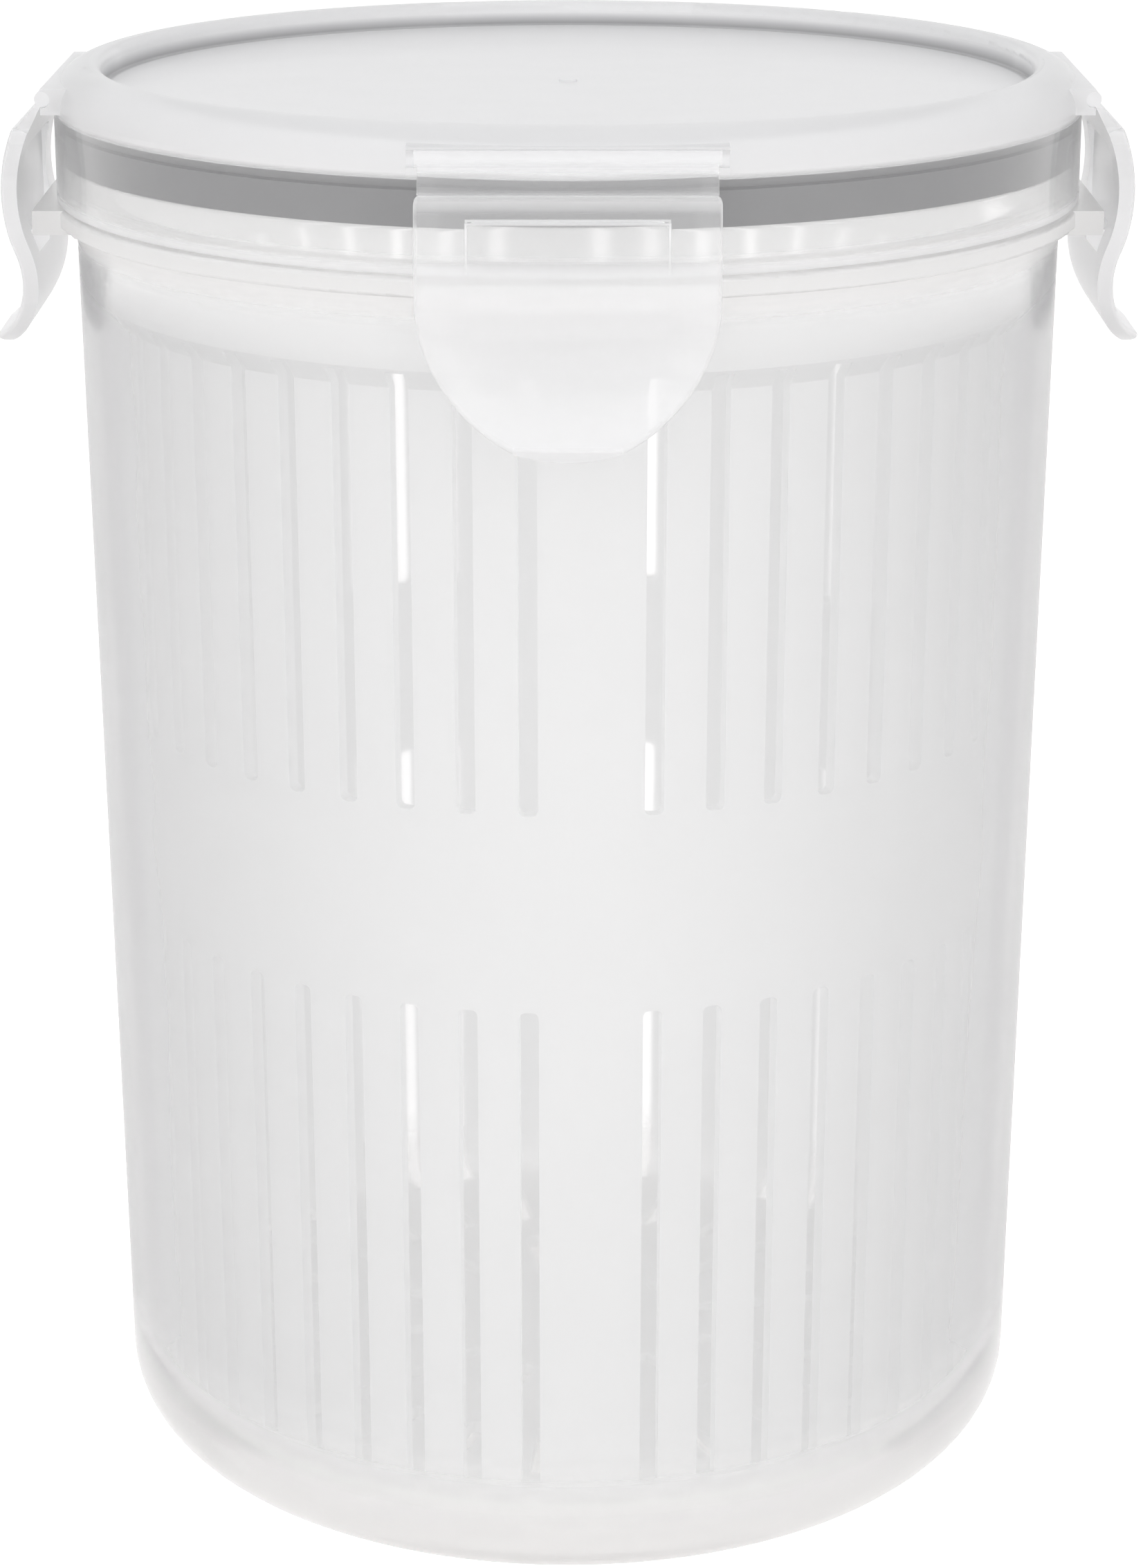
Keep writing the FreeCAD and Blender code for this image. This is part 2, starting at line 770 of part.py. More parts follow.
def draw_web(sketch, s):
    """The web from the bead to the flap's top: a thin neck, then a plate that widens."""
    hinge = (s.hinge_x, s.hinge_z)
    along = -s.neck_angle
    neck_end = around(hinge, s.neck_length, along)
    half = s.neck_thickness / 2
    outside = s.bulge_radius - s.lip_step
    inside = s.bulge_radius - s.latch_thickness
    root = s.shoulder_angle - s.web_root
    draw_outline(sketch, [
        around(hinge, half, along + 90),
        around(neck_end, half, along + 90),
        around(s.bulge_centre, outside, s.shoulder_angle),
        around(s.bulge_centre, outside, root),
        around(s.bulge_centre, inside, root),
        around(s.bulge_centre, inside, s.shoulder_angle),
        around(neck_end, half, along - 90),
        around(hinge, half, along - 90),
    ])


def check(doc):
    """Stop if any object failed, or if a piece is empty or broken."""
    for item in doc.Objects:
        if "Invalid" in item.State or "Error" in item.State:
            raise RuntimeError(f"{item.Label} failed: {item.State}")
    for body in doc.findObjects("PartDesign::Body"):
        if body.Shape.isNull() or not body.Shape.isValid() or len(body.Shape.Solids) != 1:
            raise RuntimeError(f"{body.Label} isn't one valid solid")


def main():
    doc = FreeCAD.newDocument("pickle_keeper")
    s = work_out_fits(make_sheet(doc))
    bodies = [build_container(doc, s), build_strainer(doc, s), build_gasket(doc, s), build_lid(doc, s)]
    for index, name in enumerate(LATCH_NAMES):
        bodies.append(build_latch(doc, s, name, index * 360 / QUARTERS))
    doc.recompute()
    check(doc)
    os.makedirs("parts", exist_ok=True)
    for body in bodies:
        body.Shape.exportStep(f"parts/{body.Label}.step")
        print(f"{body.Label}: {body.Shape.Volume / 1000:.1f} cm3, {len(body.Shape.Faces)} faces")


main()
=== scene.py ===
"""Looks of a round pickle keeper: clear tub, lid and latches, white strainer, grey gasket, pale studio.

Metres, +Z up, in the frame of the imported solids.
"""

import math

import bpy
from bpy.props import FloatProperty, FloatVectorProperty, PointerProperty
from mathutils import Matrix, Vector


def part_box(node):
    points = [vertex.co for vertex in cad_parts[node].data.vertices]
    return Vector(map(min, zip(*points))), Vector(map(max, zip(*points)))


bl_info = {
    "name": "Pickle keeper",
    "version": (1, 0, 0),
    "blender": (4, 5, 0),
    "location": "3D View > Sidebar > Keeper",
    "description": "Dresses the solids of a pickle keeper in moulded plastic and silicone",
    "category": "Object",
}

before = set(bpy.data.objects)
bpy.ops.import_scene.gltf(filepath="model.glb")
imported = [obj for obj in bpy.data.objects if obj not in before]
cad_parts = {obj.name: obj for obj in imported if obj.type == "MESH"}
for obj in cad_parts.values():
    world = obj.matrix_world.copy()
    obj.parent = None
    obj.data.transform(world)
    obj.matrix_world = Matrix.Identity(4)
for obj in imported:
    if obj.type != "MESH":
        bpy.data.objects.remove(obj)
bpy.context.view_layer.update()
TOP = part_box("lid")[1].z
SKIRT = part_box("lid")[0].z
GASKET_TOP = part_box("gasket")[1].z
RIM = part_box("container")[1].z

# Looks of the clear pieces by height: pairs of a height on the shut keeper and the strength there.
# One pair alone holds at every height.
# Painted shade: on the tub the glancing haze is grey and darkens its edges, partly cloudiness and partly
# shade painted in
TUB_HAZE = ((0.004, 0.15), (0.024, 1.0), (RIM - 0.018, 1.0), (RIM - 0.012, 0.0))
TUB_MILK = ((0.003, 0.7), (0.012, 0.45), (0.020, 0.0),
            (RIM - 0.012, 0.0), (RIM - 0.0095, 0.7), (RIM - 0.005, 0.7), (RIM - 0.0035, 0.2))
LID_HAZE = ((0.0, 0.1),)
LID_MILK = ((SKIRT + 0.0005, 0.6), (SKIRT + 0.0013, 0.0),
            (GASKET_TOP + 0.0001, 0.0), (GASKET_TOP + 0.0009, 0.95))
LATCH_HAZE = ((0.0, 1.0),)
LATCH_MILK = ((RIM - 0.022, 0.5), (RIM - 0.008, 0.5),
              (RIM - 0.001, 0.15), (RIM + 0.0033, 0.15),
              (RIM + 0.0036, 0.45), (RIM + 0.0044, 0.45),
              (RIM + 0.0047, 0.04), (RIM + 0.0072, 0.04), (RIM + 0.0078, 0.6))
# Painted highlight: a frosted line painted along the outline of each latch's seat, standing in for the
# glint of its edge
SEAT_LINE = ((RIM - 0.004, 0.0), (RIM + 0.001, 0.55))
# Painted shade: a dark ring painted round the wall of the lid's well
WELL_SHADE = ((TOP - 0.00335, 0.0), (TOP - 0.0032, 1.0), (TOP - 0.00245, 1.0), (TOP - 0.00195, 0.0))

# The lid's well with its ring of painted shade, the seats of the latches with their painted highlight
# line, and the ends of the latches
WELL_RADIUS = 0.0607
WELL_RING_WIDTH = 0.001
SEAT_HALF_WIDTH = 0.0117
SEAT_TOP = RIM + 0.0018
SEAT_LINE_WIDTH = 0.0002
LATCH_RADIUS = 0.07  # from the upright axis to the latches
END_FROST = 0.8

# Size of the uneven patches of each finish, and how much they change it
CLEAR_MOTTLE = 0.02
CLEAR_RIPPLE = 0.015
CLEAR_ROUGHNESS_SPREAD = 0.03
HAZE_SPREAD = 0.2
MILK_SPREAD = 0.1
WHITE_MOTTLE = 0.03
WHITE_SHADE = 0.98
WHITE_ROUGHNESS_SPREAD = 0.12
SILICONE_BLOOM = 0.006
BLOOM_SHADE = 1.12
BLOOM_ROUGHNESS_SPREAD = 0.15
SILICONE_GRAIN = 0.0005
GRAIN_DEPTH = 0.00001
PAPER_FLECK = 0.05
FLECK_LIFT = 0.02

# Refractive indices
WHITE_PLASTIC_INDEX = 1.49
SILICONE_INDEX = 1.41

# Stage
FLOOR_SIDES = 96
LAMPS = (  # name, place, width and power in watts
    ("overhead", (-0.1, -0.3, 1.6), 1.2, 2.0),
    ("left", (-1.1, -0.8, 0.5), 1.0, 2.6),
    ("right", (1.1, -0.9, 0.5), 1.0, 2.8),
    ("front", (0.0, -1.5, 0.5), 1.2, 3.3),
)
CAMERA_PLACE = (0.0, -0.5248, 0.2592)
CAMERA_DIP = 17.70  # degrees below level
CAMERA_LENS = 91.33  # mm
CAMERA_SENSOR = 36.0  # mm
CAMERA_SHIFT = 0.0023
CAMERA_REACH = 50.0
CLEAR_BOUNCES = 14  # many clear walls stand one behind the other, and each has two faces
DIFFUSE_BOUNCES = 12

# Sockets of a Mix node that mixes colours
COLOUR_A = 6
COLOUR_B = 7
COLOUR_RESULT = 2


# Settings

class ClearPlasticSettings(bpy.types.PropertyGroup):
    """Finish of the clear moulded pieces."""
    tint: FloatVectorProperty(
        name="Tint", description="Colour that the plastic lets through",
        subtype="COLOR", size=3, min=0.0, max=1.0, default=(1.0, 1.0, 1.0))
    clearness: FloatProperty(
        name="Clearness", description="Share of light that passes through each surface unscattered",
        subtype="FACTOR", min=0.0, max=1.0, default=0.98)
    lamp_share: FloatProperty(
        name="Lamp share", description="Share of lamp light that passes straight through each face",
        subtype="FACTOR", min=0.0, max=1.0, default=0.98)
    body_roughness: FloatProperty(
        name="Body roughness", description="Blur of what is seen through the clear walls",
        subtype="FACTOR", min=0.0, max=1.0, default=0.06)
    # Painted shade: grey that darkens the tub's glancing edges, partly cloudiness and partly shade
    # painted in
    edge_haze: FloatVectorProperty(
        name="Edge haze", description="Colour of the tub's haze at a glancing angle",
        subtype="COLOR", size=3, min=0.0, max=1.0, default=(0.5, 0.5, 0.51))
    milk: FloatVectorProperty(
        name="Milk", description="Colour of the milky places of the tub",
        subtype="COLOR", size=3, min=0.0, max=1.0, default=(0.955, 0.951, 0.948))
    latch_milk: FloatVectorProperty(
        name="Latch milk", description="Colour of the haze and the milky places of the latches",
        subtype="COLOR", size=3, min=0.0, max=1.0, default=(0.94, 0.94, 0.945))
    lid_milk: FloatVectorProperty(
        name="Lid milk", description="Colour of the haze and the frosting of the lid",
        subtype="COLOR", size=3, min=0.0, max=1.0, default=(0.93, 0.93, 0.935))
    milk_clearness: FloatProperty(
        name="Milk clearness", description="Share of light that passes through each cloudy surface",
        subtype="FACTOR", min=0.0, max=1.0, default=0.2)
    milk_roughness: FloatProperty(
        name="Milk roughness", description="Blur of what is seen through the cloudy places",
        subtype="FACTOR", min=0.0, max=1.0, default=0.3)
    glance_blend: FloatProperty(
        name="Glance blend", description="How far in the haze of the tub and the lid reaches",
        subtype="FACTOR", min=0.0, max=1.0, default=0.25)
    latch_blend: FloatProperty(
        name="Latch blend", description="How far in the haze of the latches reaches",
        subtype="FACTOR", min=0.0, max=1.0, default=0.62)
    # Painted shade: colour of the dark ring painted round the lid's well
    well_shade: FloatVectorProperty(
        name="Well shade", description="Colour of the shaded ring round the lid's well",
        subtype="COLOR", size=3, min=0.0, max=1.0, default=(0.38, 0.38, 0.39))
    bending: FloatProperty(
        name="Bending", description="Refractive index of the thin walls",
        min=1.0, max=2.0, default=1.3)
    coat: FloatProperty(
        name="Coat", description="Strength of the polished skin",
        subtype="FACTOR", min=0.0, max=1.0, default=0.15)
    coat_roughness: FloatProperty(
        name="Coat roughness", description="Roughness of the polished skin",
        subtype="FACTOR", min=0.0, max=1.0, default=0.08)
    waviness: FloatProperty(
        name="Waviness", description="Height of the slow ripples left by moulding",
        unit="LENGTH", min=0.0, max=0.001, default=0.00001)


class StrainerSettings(bpy.types.PropertyGroup):
    """Finish of the white basket."""
    colour: FloatVectorProperty(
        name="Colour", description="Colour of the white plastic",
        subtype="COLOR", size=3, min=0.0, max=1.0, default=(0.92, 0.92, 0.92))
    roughness: FloatProperty(
        name="Roughness", description="Roughness of the satin surface",
        subtype="FACTOR", min=0.0, max=1.0, default=0.3)
    glow: FloatProperty(
        name="Glow", description="Share of the surface that shows the light from behind it",
        subtype="FACTOR", min=0.0, max=1.0, default=0.55)
    glow_colour: FloatVectorProperty(
        name="Glow colour", description="Colour of the light that comes through the plastic",
        subtype="COLOR", size=3, min=0.0, max=1.0, default=(0.95, 0.95, 0.95))
    lamp_share: FloatProperty(
        name="Lamp share", description="Share of lamp light that passes straight through each face",
        subtype="FACTOR", min=0.0, max=1.0, default=0.95)
    grain_size: FloatProperty(
        name="Grain size", description="Size of the fine grain of the satin surface",
        unit="LENGTH", min=0.0001, max=0.01, default=0.0008)


class GasketSettings(bpy.types.PropertyGroup):
    """Finish of the silicone ring."""
    colour: FloatVectorProperty(
        name="Colour", description="Colour of the silicone",
        subtype="COLOR", size=3, min=0.0, max=1.0, default=(0.185, 0.185, 0.19))
    roughness: FloatProperty(
        name="Roughness", description="Roughness of the dull skin",
        subtype="FACTOR", min=0.0, max=1.0, default=0.45)


class StudioSettings(bpy.types.PropertyGroup):
    """Floor and room."""
    floor_radius: FloatProperty(
        name="Floor radius", description="Radius of the round floor",
        unit="LENGTH", min=0.5, max=20.0, default=4.0)
    paper: FloatVectorProperty(
        name="Paper", description="Colour of the floor paper",
        subtype="COLOR", size=3, min=0.0, max=1.0, default=(0.87, 0.855, 0.847))
    floor_glow: FloatProperty(
        name="Floor glow", description="Brightness that is added to the paper where it is seen",
        min=0.0, max=2.0, default=0.5)
    surround: FloatVectorProperty(
        name="Surround", description="Light of the room around the keeper",
        subtype="COLOR", size=3, min=0.0, max=2.0, default=(0.65, 0.65, 0.655))


# Shader building

class Wire:
    """A socket that takes part in sums: an expression on wires and numbers adds its Math nodes."""

    def __init__(self, shader, socket):
        self.shader = shader
        self.socket = socket

    def __add__(self, other):
        return self.shader.maths("ADD", self, other)

    def __radd__(self, other):
        return self.shader.maths("ADD", other, self)

    def __sub__(self, other):
        return self.shader.maths("SUBTRACT", self, other)

    def __rsub__(self, other):
        return self.shader.maths("SUBTRACT", other, self)

    def __mul__(self, other):
        return self.shader.maths("MULTIPLY", self, other)

    def __rmul__(self, other):
        return self.shader.maths("MULTIPLY", other, self)


class Shader:
    """The node tree of one material or world while it is put together."""

    def __init__(self, owner):
        owner.use_nodes = True
        self.tree = owner.node_tree
        self.tree.nodes.clear()

    def node(self, kind, settings=None, inputs=None, output=0):
        """Add a node, make its settings, feed its sockets, and return one of its outputs."""
        node = self.tree.nodes.new(kind)
        for name, value in (settings or {}).items():
            if name == "stops":
                self.set_stops(node.color_ramp, value)
            else:
                setattr(node, name, value)
        for name, value in (inputs or {}).items():
            if isinstance(value, Wire):
                self.tree.links.new(value.socket, node.inputs[name])
            else:
                node.inputs[name].default_value = value
        return Wire(self, node.outputs[output]) if len(node.outputs) else None

    @staticmethod
    def set_stops(ramp, stops):
        while len(ramp.elements) > len(stops):
            ramp.elements.remove(ramp.elements[-1])
        while len(ramp.elements) < len(stops):
            ramp.elements.new(1.0)
        for element, (place, colour) in zip(ramp.elements, stops):
            element.position = place
            element.color = colour

    def maths(self, operation, *values):
        return self.node("ShaderNodeMath", {"operation": operation}, dict(enumerate(values)))

    def vector_maths(self, operation, *values, output="Vector"):
        inputs = dict(enumerate(values))
        return self.node("ShaderNodeVectorMath", {"operation": operation}, inputs, output)

    def split(self, vector):
        """The three parts of a vector."""
        parts = self.node("ShaderNodeSeparateXYZ", inputs={0: vector}).socket.node.outputs
        return [Wire(self, part) for part in parts]

    def object_place(self):
        return self.node("ShaderNodeTexCoord", output="Object")

    def noise(self, place, feature_size, detail):
        """Noise from 0 to 1 whose blotches are about feature_size across."""
        return self.node("ShaderNodeTexNoise", inputs={
            "Vector": place,
            "Scale": 1 / feature_size,
            "Detail": detail,
        })

    def by_height(self, place, stops):
        """A share that follows the height, from pairs of height and share."""
        height = self.split(place)[2]
        ramp = [(level / TOP, grey(share)) for level, share in stops]
        return self.node("ShaderNodeValToRGB", {"stops": ramp}, {"Fac": height * (1 / TOP)})

    def fade(self, away, reach):
        """1 up to half the reach away, falling to 0 at the reach."""
        return self.node("ShaderNodeClamp", inputs={"Value": 2 - away * (2 / reach)})

    def near_radius(self, place, radius, reach):
        """1 at a distance from the upright axis, falling to 0 a short reach inside and outside it."""
        flat = self.vector_maths("MULTIPLY", place, (1.0, 1.0, 0.0))
        distance = self.vector_maths("LENGTH", flat, output="Value")
        return self.fade(self.maths("ABSOLUTE", distance - radius), reach)

    def seat_outline(self, place):
        """1 on the outline of the flat seats inside the latches, which stand on the X and Y axes; the
        painted highlight line goes there.
        """
        x, y, height = self.split(place)
        across = self.maths("MINIMUM", self.maths("ABSOLUTE", x), self.maths("ABSOLUTE", y))
        outside = self.maths("MAXIMUM", across - SEAT_HALF_WIDTH, height - SEAT_TOP)
        return self.fade(self.maths("ABSOLUTE", outside), SEAT_LINE_WIDTH)

    def end_faces(self, place, radius):
        """1 on faces at this radius that look sideways round the upright axis, such as a latch's ends."""
        facing = self.node("ShaderNodeTexCoord", output="Normal")
        turn = self.split(self.vector_maths("CROSS_PRODUCT", place, facing))[2]
        sideways = self.maths("ABSOLUTE", turn) * (2 / radius)
        return self.node("ShaderNodeClamp", inputs={"Value": sideways - 1})

    def bump(self, height, distance):
        return self.node("ShaderNodeBump", inputs={"Height": height, "Distance": distance})

    def mix_colour(self, share, first, second):
        return self.node("ShaderNodeMix", {"data_type": "RGBA"}, {
            "Factor": share,
            COLOUR_A: first,
            COLOUR_B: second,
        }, COLOUR_RESULT)

    def mix(self, share, first, second):
        """Two finishes on one surface, of which the second takes the share."""
        return self.node("ShaderNodeMixShader", inputs={0: share, 1: first, 2: second})

    def finish(self, surface, kind="ShaderNodeOutputMaterial"):
        self.node(kind, inputs={"Surface": surface})


def grey(level):
    return (level, level, level, 1.0)


def opaque(colour):
    return (*colour, 1.0)


def shaded(colour, factor):
    return opaque(channel * factor for channel in colour)


def uneven(share, spread, mottle):
    """A share that the mottle moves up and down by half the spread."""
    return share * (1 - spread / 2 + spread * mottle)


# Materials

def let_lamps_through(shader, body, share):
    """Finish a material that lets a share of lamp light straight through each of its faces."""
    passing = shader.node("ShaderNodeBsdfTransparent", inputs={"Color": grey(share)})
    shadow_ray = shader.node("ShaderNodeLightPath", output="Is Shadow Ray")
    shader.finish(shader.mix(shadow_ray, body, passing))


def make_clear_plastic(name, settings, blend, haze_colour, haze, milk_colour, milkiness,
                       well=None, seat=None):
    """Clear plastic with cloudy edges, which on the tub are grey with painted shade, and milky places.

    haze gives, by height, how cloudy it is at a glancing angle, in haze_colour, which on the tub is a
    grey that paints shade on its glancing edges; milkiness gives how cloudy it is from every side. well
    gives, by height, a painted shade: a dark ring painted round the wall of the lid's well. seat gives,
    by height, a painted highlight: a frosted line painted along the outline of the seats of latches,
    whose ends are frosted too.
    """
    material = bpy.data.materials.new(name)
    shader = Shader(material)
    place = shader.object_place()
    mottle = shader.noise(place, CLEAR_MOTTLE, detail=3.0)
    ripple = shader.bump(shader.noise(place, CLEAR_RIPPLE, detail=1.0), settings.waviness)

    def moulded(colour, clearness, roughness):
        return shader.node("ShaderNodeBsdfPrincipled", inputs={
            "Base Color": colour,
            "Roughness": roughness + CLEAR_ROUGHNESS_SPREAD * mottle,
            "IOR": settings.bending,
            "Transmission Weight": clearness,
            "Coat Weight": settings.coat,
            "Coat Roughness": settings.coat_roughness,
            "Normal": ripple,
        })

    clear = moulded(opaque(settings.tint), settings.clearness, settings.body_roughness)
    # On the tub this haze is grey: painted shade on its glancing edges, partly real cloudiness
    hazy = moulded(opaque(haze_colour), settings.milk_clearness, settings.milk_roughness)
    glance = shader.node("ShaderNodeLayerWeight", inputs={"Blend": blend}, output="Facing")
    body = shader.mix(uneven(glance * shader.by_height(place, haze), HAZE_SPREAD, mottle), clear, hazy)

    colour = opaque(milk_colour)
    # Painted shade: a dark ring painted round the wall of the lid's well
    if well:
        ring = shader.by_height(place, well) * shader.near_radius(place, WELL_RADIUS, WELL_RING_WIDTH)
        colour = shader.mix_colour(ring, colour, opaque(settings.well_shade))
    milky = moulded(colour, settings.milk_clearness, settings.milk_roughness)
    share = uneven(shader.by_height(place, milkiness), MILK_SPREAD, mottle)
    if seat:
        # Painted highlight: a frosted line painted along the outline of each latch's seat
        share = share + shader.seat_outline(place) * shader.by_height(place, seat)
        share = share + shader.end_faces(place, LATCH_RADIUS) * END_FROST
    let_lamps_through(shader, shader.mix(share, body, milky), settings.lamp_share)
    return material


def make_white_plastic(name, settings):
    """Satin white plastic that glows where light comes from behind."""
    material = bpy.data.materials.new(name)
    shader = Shader(material)
    place = shader.object_place()
    mottle = shader.noise(place, WHITE_MOTTLE, detail=3.0)
    grain = shader.bump(shader.noise(place, settings.grain_size, detail=2.0), GRAIN_DEPTH)
    darker = shaded(settings.colour, WHITE_SHADE)
    skin = shader.node("ShaderNodeBsdfPrincipled", inputs={
        "Base Color": shader.mix_colour(mottle, opaque(settings.colour), darker),
        "Roughness": settings.roughness + WHITE_ROUGHNESS_SPREAD * mottle,
        "IOR": WHITE_PLASTIC_INDEX,
        "Normal": grain,
    })
    glow = shader.node("ShaderNodeBsdfTranslucent", inputs={
        "Color": opaque(settings.glow_colour),
        "Normal": grain,
    })
    let_lamps_through(shader, shader.mix(settings.glow, skin, glow), settings.lamp_share)
    return material


def make_silicone(name, settings):
    """Soft grey silicone with a dull skin and a faint bloom."""
    material = bpy.data.materials.new(name)
    shader = Shader(material)
    place = shader.object_place()
    bloom = shader.noise(place, SILICONE_BLOOM, detail=4.0)
    grain = shader.noise(place, SILICONE_GRAIN, detail=2.0)
    paler = shaded(settings.colour, BLOOM_SHADE)
    shader.finish(shader.node("ShaderNodeBsdfPrincipled", inputs={
        "Base Color": shader.mix_colour(bloom, opaque(settings.colour), paler),
        "Roughness": settings.roughness + BLOOM_ROUGHNESS_SPREAD * bloom,
        "IOR": SILICONE_INDEX,
        "Normal": shader.bump(grain, GRAIN_DEPTH),
    }))
    return material


def dress(node, material):
    """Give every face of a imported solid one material."""
    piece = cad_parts[node]
    for holder in piece.material_slots:
        holder.material = material


# Pieces

class KeeperOperator:
    """What the operators of this file share."""
    bl_options = {"REGISTER", "UNDO"}

    @classmethod
    def poll(cls, context):
        return context.mode == "OBJECT"


class KEEPER_OT_container(KeeperOperator, bpy.types.Operator):
    """Finish the clear tub"""
    bl_idname = "keeper.container"
    bl_label = "Container"

    def execute(self, context):
        settings = context.scene.keeper_clear
        # The tub's glancing edges carry painted shade in their grey haze
        material = make_clear_plastic(
            "container_plastic", settings, settings.glance_blend,
            haze_colour=settings.edge_haze, haze=TUB_HAZE,
            milk_colour=settings.milk, milkiness=TUB_MILK)
        dress("container", material)
        return {"FINISHED"}


class KEEPER_OT_strainer(KeeperOperator, bpy.types.Operator):
    """Finish the white basket"""
    bl_idname = "keeper.strainer"
    bl_label = "Strainer"

    def execute(self, context):
        material = make_white_plastic("strainer_plastic", context.scene.keeper_strainer)
        dress("strainer", material)
        return {"FINISHED"}


class KEEPER_OT_lid(KeeperOperator, bpy.types.Operator):
    """Finish the clear lid"""
    bl_idname = "keeper.lid"
    bl_label = "Lid"

    def execute(self, context):
        settings = context.scene.keeper_clear
        # The lid carries a ring of painted shade round its well
        material = make_clear_plastic(
            "lid_plastic", settings, settings.glance_blend,
            haze_colour=settings.lid_milk, haze=LID_HAZE,
            milk_colour=settings.lid_milk, milkiness=LID_MILK, well=WELL_SHADE)
        dress("lid", material)
        return {"FINISHED"}


class KEEPER_OT_gasket(KeeperOperator, bpy.types.Operator):
    """Finish the sealing ring"""
    bl_idname = "keeper.gasket"
    bl_label = "Gasket"

    def execute(self, context):
        material = make_silicone("gasket_silicone", context.scene.keeper_gasket)
        dress("gasket", material)
        return {"FINISHED"}


class KEEPER_OT_latches(KeeperOperator, bpy.types.Operator):
    """Finish the four clear latches"""
    bl_idname = "keeper.latches"
    bl_label = "Latches"

    def execute(self, context):
        settings = context.scene.keeper_clear
        # The latches carry a painted highlight line along the outlines of their seats
        material = make_clear_plastic(
            "latch_plastic", settings, settings.latch_blend,
            haze_colour=settings.latch_milk, haze=LATCH_HAZE,
            milk_colour=settings.latch_milk, milkiness=LATCH_MILK, seat=SEAT_LINE)
        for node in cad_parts:
            if node.startswith("latch_"):
                dress(node, material)
        return {"FINISHED"}


class KEEPER_OT_stage(KeeperOperator, bpy.types.Operator):
    """Make the floor, the room, the lamps and the camera"""
    bl_idname = "keeper.stage"
    bl_label = "Stage"

    def execute(self, context):
        scene = context.scene
        make_floor(scene.keeper_studio)
        make_room(scene, scene.keeper_studio)
        make_lamps(scene)
        make_camera(scene)
        scene.view_settings.view_transform = "Standard"
        scene.cycles.max_bounces = CLEAR_BOUNCES
        scene.cycles.diffuse_bounces = DIFFUSE_BOUNCES
        scene.cycles.transmission_bounces = CLEAR_BOUNCES
        scene.cycles.transparent_max_bounces = CLEAR_BOUNCES
        return {"FINISHED"}


# Stage

def seen_directly(shader):
    """1 for rays from the camera, and for those that gloss or clear plastic sends on."""
    path = shader.node("ShaderNodeLightPath").socket.node
    rays = [Wire(shader, path.outputs[f"Is {kind} Ray"]) for kind in ("Camera", "Glossy", "Transmission")]
    return shader.node("ShaderNodeClamp", inputs={"Value": rays[0] + rays[1] + rays[2]})


def make_floor(settings):
    bpy.ops.object.select_all(action="DESELECT")
    bpy.ops.mesh.primitive_circle_add(
        vertices=FLOOR_SIDES, radius=settings.floor_radius, fill_type="NGON")
    floor = bpy.context.object
    floor.name = "floor"
    material = bpy.data.materials.new("floor_paper")
    shader = Shader(material)
    fleck = shader.noise(shader.object_place(), PAPER_FLECK, detail=2.0)
    lifted = opaque(channel + FLECK_LIFT for channel in settings.paper)
    paper = shader.node("ShaderNodeBsdfDiffuse", inputs={
        "Color": shader.mix_colour(fleck, opaque(settings.paper), lifted),
    })
    glow = shader.node("ShaderNodeEmission", inputs={
        "Color": grey(1.0),
        "Strength": settings.floor_glow,
    })
    lit = shader.node("ShaderNodeAddShader", inputs={0: paper, 1: glow})
    shader.finish(shader.mix(seen_directly(shader), paper, lit))
    floor.data.materials.append(material)


def make_room(scene, settings):
    """White where it is seen, and darker where it only lights."""
    world = bpy.data.worlds.new("room")
    scene.world = world
    shader = Shader(world)
    colour = shader.mix_colour(seen_directly(shader), opaque(settings.surround), grey(1.0))
    background = shader.node("ShaderNodeBackground", inputs={"Color": colour})
    shader.finish(background, "ShaderNodeOutputWorld")


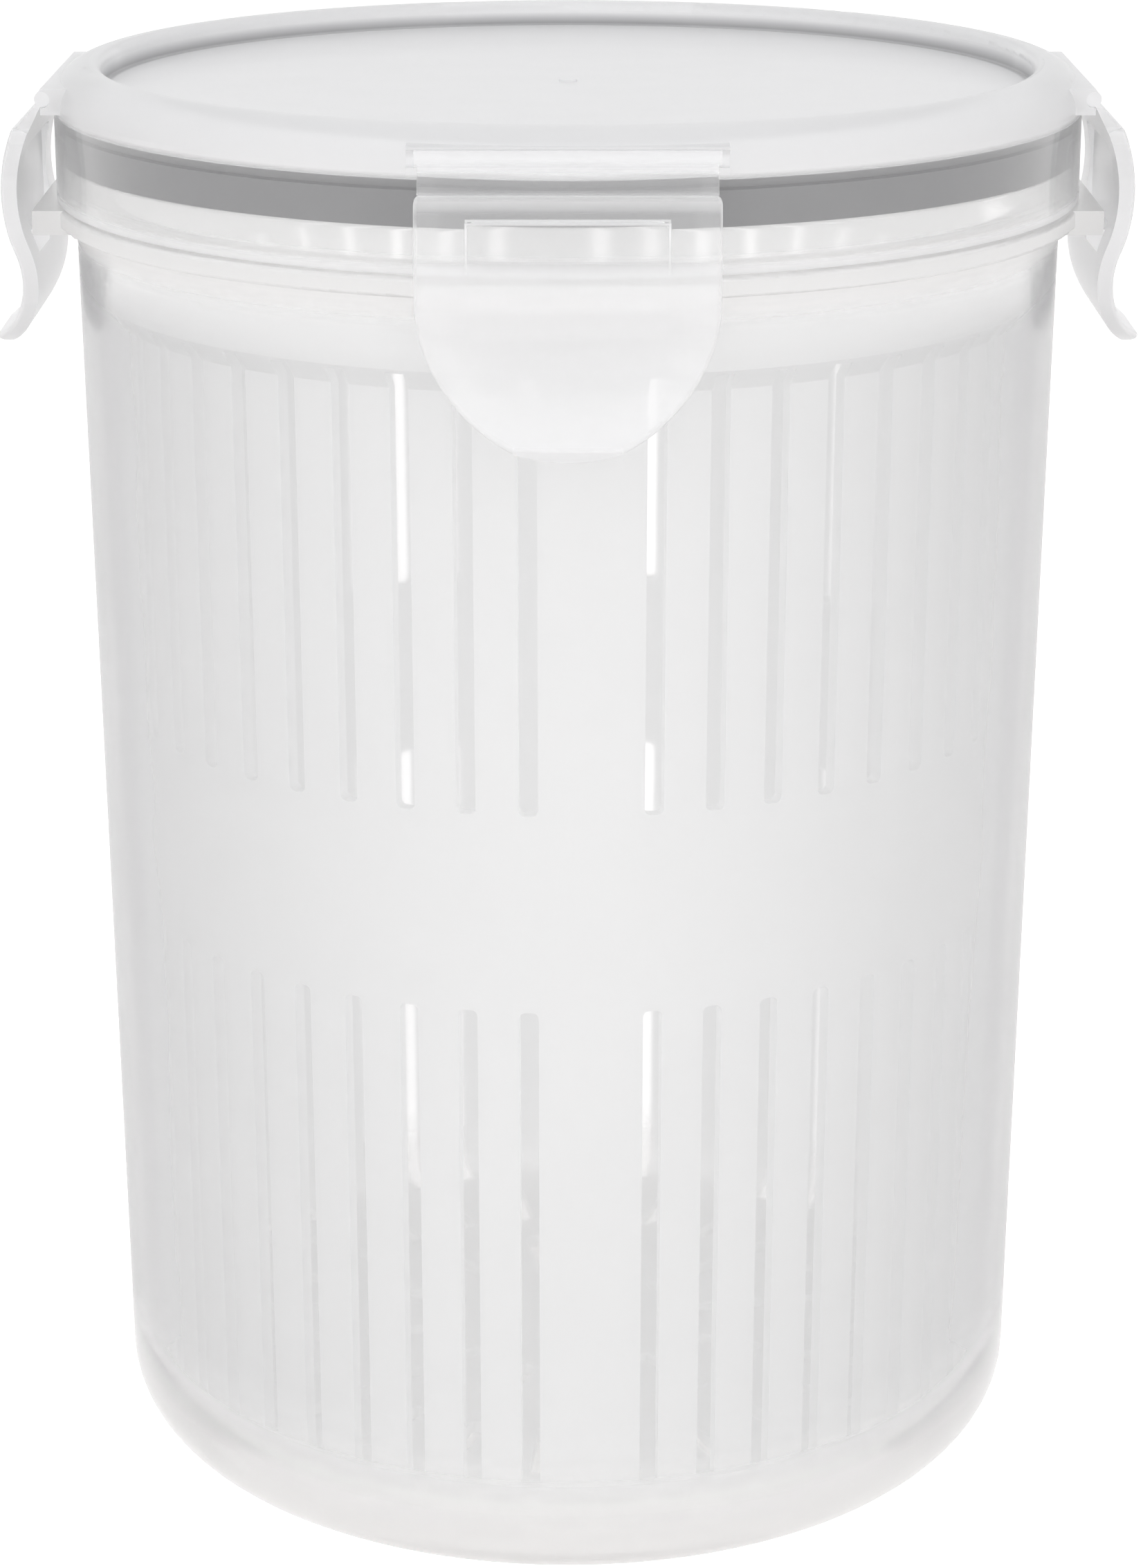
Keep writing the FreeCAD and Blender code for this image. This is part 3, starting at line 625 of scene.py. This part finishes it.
def make_lamps(scene):
    """Large soft lamps that don't show in the gloss: one overhead, and three round the front."""
    middle = Vector((0.0, 0.0, TOP / 2))
    for name, place, width, power in LAMPS:
        lamp = bpy.data.lights.new(name, "AREA")
        lamp.shape = "SQUARE"
        lamp.size = width
        lamp.energy = power
        holder = bpy.data.objects.new(name, lamp)
        holder.location = place
        holder.rotation_euler = (middle - holder.location).to_track_quat("-Z", "Y").to_euler()
        holder.visible_glossy = False
        scene.collection.objects.link(holder)


def make_camera(scene):
    camera = bpy.data.cameras.new("camera")
    camera.lens = CAMERA_LENS
    camera.sensor_width = CAMERA_SENSOR
    camera.shift_x = CAMERA_SHIFT
    camera.clip_end = CAMERA_REACH
    holder = bpy.data.objects.new("camera", camera)
    holder.location = CAMERA_PLACE
    holder.rotation_euler = (math.radians(90 - CAMERA_DIP), 0.0, 0.0)
    scene.collection.objects.link(holder)
    scene.camera = holder


# Add-on

class KEEPER_PT_panel(bpy.types.Panel):
    """Lists the pieces and their settings"""
    bl_idname = "KEEPER_PT_panel"
    bl_label = "Pickle keeper"
    bl_space_type = "VIEW_3D"
    bl_region_type = "UI"
    bl_category = "Keeper"

    def draw(self, context):
        for settings in SETTINGS:
            box = self.layout.box()
            group = getattr(context.scene, settings)
            for name in group.__annotations__:
                box.prop(group, name)
        for operator in PIECES:
            self.layout.operator(operator.bl_idname)


PIECES = (
    KEEPER_OT_container,
    KEEPER_OT_strainer,
    KEEPER_OT_lid,
    KEEPER_OT_gasket,
    KEEPER_OT_latches,
    KEEPER_OT_stage,
)
SETTINGS = {
    "keeper_clear": ClearPlasticSettings,
    "keeper_strainer": StrainerSettings,
    "keeper_gasket": GasketSettings,
    "keeper_studio": StudioSettings,
}


def register():
    for name, group in SETTINGS.items():
        bpy.utils.register_class(group)
        setattr(bpy.types.Scene, name, PointerProperty(type=group))
    for operator in PIECES:
        bpy.utils.register_class(operator)
    bpy.utils.register_class(KEEPER_PT_panel)


def unregister():
    bpy.utils.unregister_class(KEEPER_PT_panel)
    for operator in reversed(PIECES):
        bpy.utils.unregister_class(operator)
    for name, group in SETTINGS.items():
        delattr(bpy.types.Scene, name)
        bpy.utils.unregister_class(group)


def main():
    register()
    for operator in PIECES:
        group, name = operator.bl_idname.split(".")
        getattr(getattr(bpy.ops, group), name)()


if __name__ == "__main__":
    main()
